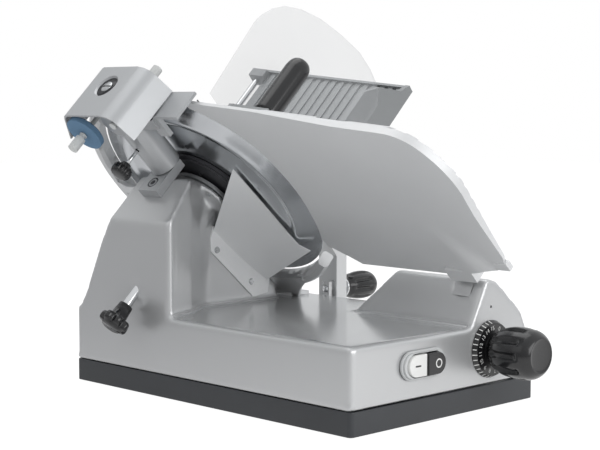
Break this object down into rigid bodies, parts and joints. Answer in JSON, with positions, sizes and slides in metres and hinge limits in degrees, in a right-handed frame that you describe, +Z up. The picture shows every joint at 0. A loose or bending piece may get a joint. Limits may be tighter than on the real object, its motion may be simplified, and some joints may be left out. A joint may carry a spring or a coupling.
{
  "type": "gravity feed meat slicer",
  "caption": "Electric gravity feed slicer with a tilted round blade, sliding carriage, gauge plate with dial and a sharpener on its neck.",
  "frame": {"origin": "centre of the base on the standing plane, under the rubber feet", "axes": "X to the user's right, Y away from the user who stands at the dial end, Z up"},
  "size_m": [0.5102, 0.6549, 0.4834],
  "materials": {
    "housing": "satin cast",
    "plinth": "semi matt black",
    "plate_steel": "plain",
    "screw_steel": "bright",
    "rubber": "matt",
    "dark_plastic": "matt",
    "motor_paint": "satin grey",
    "bearing_steel": "ground",
    "shaft_steel": "ground",
    "hub_black": "satin black",
    "blade_steel": "mirror polished",
    "cover_steel": "polished",
    "chrome": "polished",
    "knob_black": "gloss black",
    "guard_alloy": "satin",
    "sheet_steel": "brushed",
    "gauge_alloy": "fine satin",
    "bezel_grey": "light grey",
    "button_white": "white",
    "button_black": "black",
    "cast_grey": "cast",
    "bush_brass": "turned",
    "table_alloy": "satin",
    "acrylic": "clear",
    "column_alloy": "satin",
    "push_grey": "light grey",
    "stone_blue": "abrasive blue"
  },
  "bodies": {
    "base": {"base_housing": "housing", "plinth": "plinth", "bottom_plate": "plate_steel", "plate_screws": "screw_steel", "rubber_feet": "rubber", "cable_gland": "dark_plastic", "control_box": "dark_plastic", "motor": "motor_paint", "motor_plate": "plate_steel", "motor_screws": "screw_steel", "drive_belt": "rubber", "bearing_housing": "cast_grey", "shaft_bearings": "bearing_steel", "frame_screws": "screw_steel", "ring_guard": "guard_alloy", "slice_deflector": "sheet_steel", "deflector_screws": "screw_steel", "gauge_guide_rods": "shaft_steel", "switch_bezel": "bezel_grey", "carriage_rail": "chrome", "guide_bar": "plate_steel", "sharpener_clamp": "column_alloy", "clamp_screw": "screw_steel", "sharpener_post": "chrome"},
    "blade_unit": {"blade": "blade_steel", "blade_hub": "hub_black", "blade_shaft": "shaft_steel", "blade_pulley": "cast_grey", "blade_screws": "screw_steel"},
    "motor_drive": {"motor_pulley": "cast_grey"},
    "cover_unit": {"knife_cover": "cover_steel"},
    "tie_rod_unit": {"tie_rod": "chrome", "star_knob": "knob_black"},
    "gauge_unit": {"gauge_plate": "gauge_alloy", "gauge_arm": "cast_grey"},
    "dial_unit": {"dial_shaft": "shaft_steel", "dial_knob": "knob_black"},
    "on_unit": {"on_button": "button_white"},
    "off_unit": {"off_button": "button_black"},
    "carriage_unit": {"carriage_slider": "cast_grey", "slider_bushes": "bush_brass", "carriage_foot": "guard_alloy", "pivot_pin": "shaft_steel"},
    "table_unit": {"carriage_arm": "guard_alloy", "product_table": "table_alloy", "hand_shield": "acrylic", "shield_screws": "screw_steel", "grip": "knob_black", "pusher_rod": "chrome"},
    "lock_unit": {"lock_knob": "knob_black"},
    "pusher_slide_unit": {"pusher_sleeve": "shaft_steel"},
    "pusher_swing_unit": {"pusher_arm": "cast_grey", "pusher_knob": "knob_black"},
    "sharpener_unit": {"sharpener_body": "column_alloy", "sharpener_cover": "sheet_steel"},
    "sharpener_lock_unit": {"sharpener_lock": "knob_black"},
    "outer_push_unit": {"outer_push_rod": "push_grey"},
    "outer_stone_unit": {"outer_stone": "stone_blue"},
    "inner_push_unit": {"inner_push_rod": "push_grey"},
    "inner_stone_unit": {"inner_stone": "stone_blue"}
  },
  "joints": [
    {"name": "blade_spin", "type": "hinge", "parent": "base", "child": "blade_unit", "pos_m": [-0.032, 0.124, 0.257], "axis": [-0.7071, 0, -0.7071], "continuous": true},
    {"name": "motor_spin", "type": "hinge", "parent": "base", "child": "motor_drive", "pos_m": [-0.032, 0.159, 0.10144], "axis": [-0.7071, 0, -0.7071], "continuous": true},
    {"name": "cover_out", "type": "slide", "parent": "base", "child": "cover_unit", "axis": [0.7071, 0, 0.7071], "range_m": [0, 0.004]},
    {"name": "tie_rod_turn", "type": "hinge", "parent": "cover_unit", "child": "tie_rod_unit", "pos_m": [-0.19464, 0.124, 0.09437], "axis": [0.7071, 0, 0.7071], "range_deg": [0, 360]},
    {"name": "gauge_slide", "type": "slide", "parent": "base", "child": "gauge_unit", "axis": [-0.7071, 0, -0.7071], "range_m": [0, 0.015]},
    {"name": "dial_turn", "type": "hinge", "parent": "base", "child": "dial_unit", "pos_m": [0.077, -0.25, 0.0725], "axis": [0, -1, 0], "range_deg": [0, 330]},
    {"name": "on_press", "type": "slide", "parent": "base", "child": "on_unit", "axis": [0, 1, 0], "range_m": [0, 0.0025], "stiffness_N_per_m": 300},
    {"name": "off_press", "type": "slide", "parent": "base", "child": "off_unit", "axis": [0, 1, 0], "range_m": [0, 0.0025], "stiffness_N_per_m": 300},
    {"name": "carriage_slide", "type": "slide", "parent": "base", "child": "carriage_unit", "axis": [0, -1, 0], "range_m": [0, 0.28]},
    {"name": "carriage_tilt", "type": "hinge", "parent": "carriage_unit", "child": "table_unit", "pos_m": [0.1865, 0.12, 0.072], "axis": [0, 1, 0], "range_deg": [0, 45]},
    {"name": "lock_knob_turn", "type": "hinge", "parent": "table_unit", "child": "lock_unit", "pos_m": [0.2, 0.114, 0.104], "axis": [1, 0, 0], "range_deg": [0, 180]},
    {"name": "pusher_slide", "type": "slide", "parent": "table_unit", "child": "pusher_slide_unit", "axis": [0.7071, 0, 0.7071], "range_m": [0, 0.19]},
    {"name": "pusher_swing", "type": "hinge", "parent": "pusher_slide_unit", "child": "pusher_swing_unit", "pos_m": [0.06974, 0.31756, 0.24011], "axis": [-0.7071, 0, -0.7071], "range_deg": [0, 100]},
    {"name": "sharpener_lift", "type": "slide", "parent": "base", "child": "sharpener_unit", "axis": [-0.7071, 0, 0.7071], "range_m": [0, 0.04]},
    {"name": "sharpener_lock_turn", "type": "hinge", "parent": "sharpener_unit", "child": "sharpener_lock_unit", "pos_m": [-0.17484, 0.124, 0.2867], "axis": [0.7071, 0, 0.7071], "range_deg": [0, 180]},
    {"name": "outer_push", "type": "slide", "parent": "sharpener_unit", "child": "outer_push_unit", "axis": [0.7071, 0, 0.7071], "range_m": [0, 0.006], "stiffness_N_per_m": 250},
    {"name": "outer_stone_spin", "type": "hinge", "parent": "outer_push_unit", "child": "outer_stone_unit", "pos_m": [-0.21514, 0.152, 0.327], "axis": [0.7071, 0, 0.7071], "continuous": true},
    {"name": "inner_push", "type": "slide", "parent": "sharpener_unit", "child": "inner_push_unit", "axis": [-0.7071, 0, -0.7071], "range_m": [0, 0.002], "stiffness_N_per_m": 250},
    {"name": "inner_stone_spin", "type": "hinge", "parent": "inner_push_unit", "child": "inner_stone_unit", "pos_m": [-0.21019, 0.099, 0.33902], "axis": [0.7071, 0, 0.7071], "continuous": true}
  ],
  "couplings": [
    {"joint": "motor_spin", "follows": "blade_spin", "ratio": 2},
    {"joint": "tie_rod_turn", "follows": "cover_out", "rad_per_m": 1570.8},
    {"joint": "dial_turn", "follows": "gauge_slide", "rad_per_m": 383.97}
  ]
}
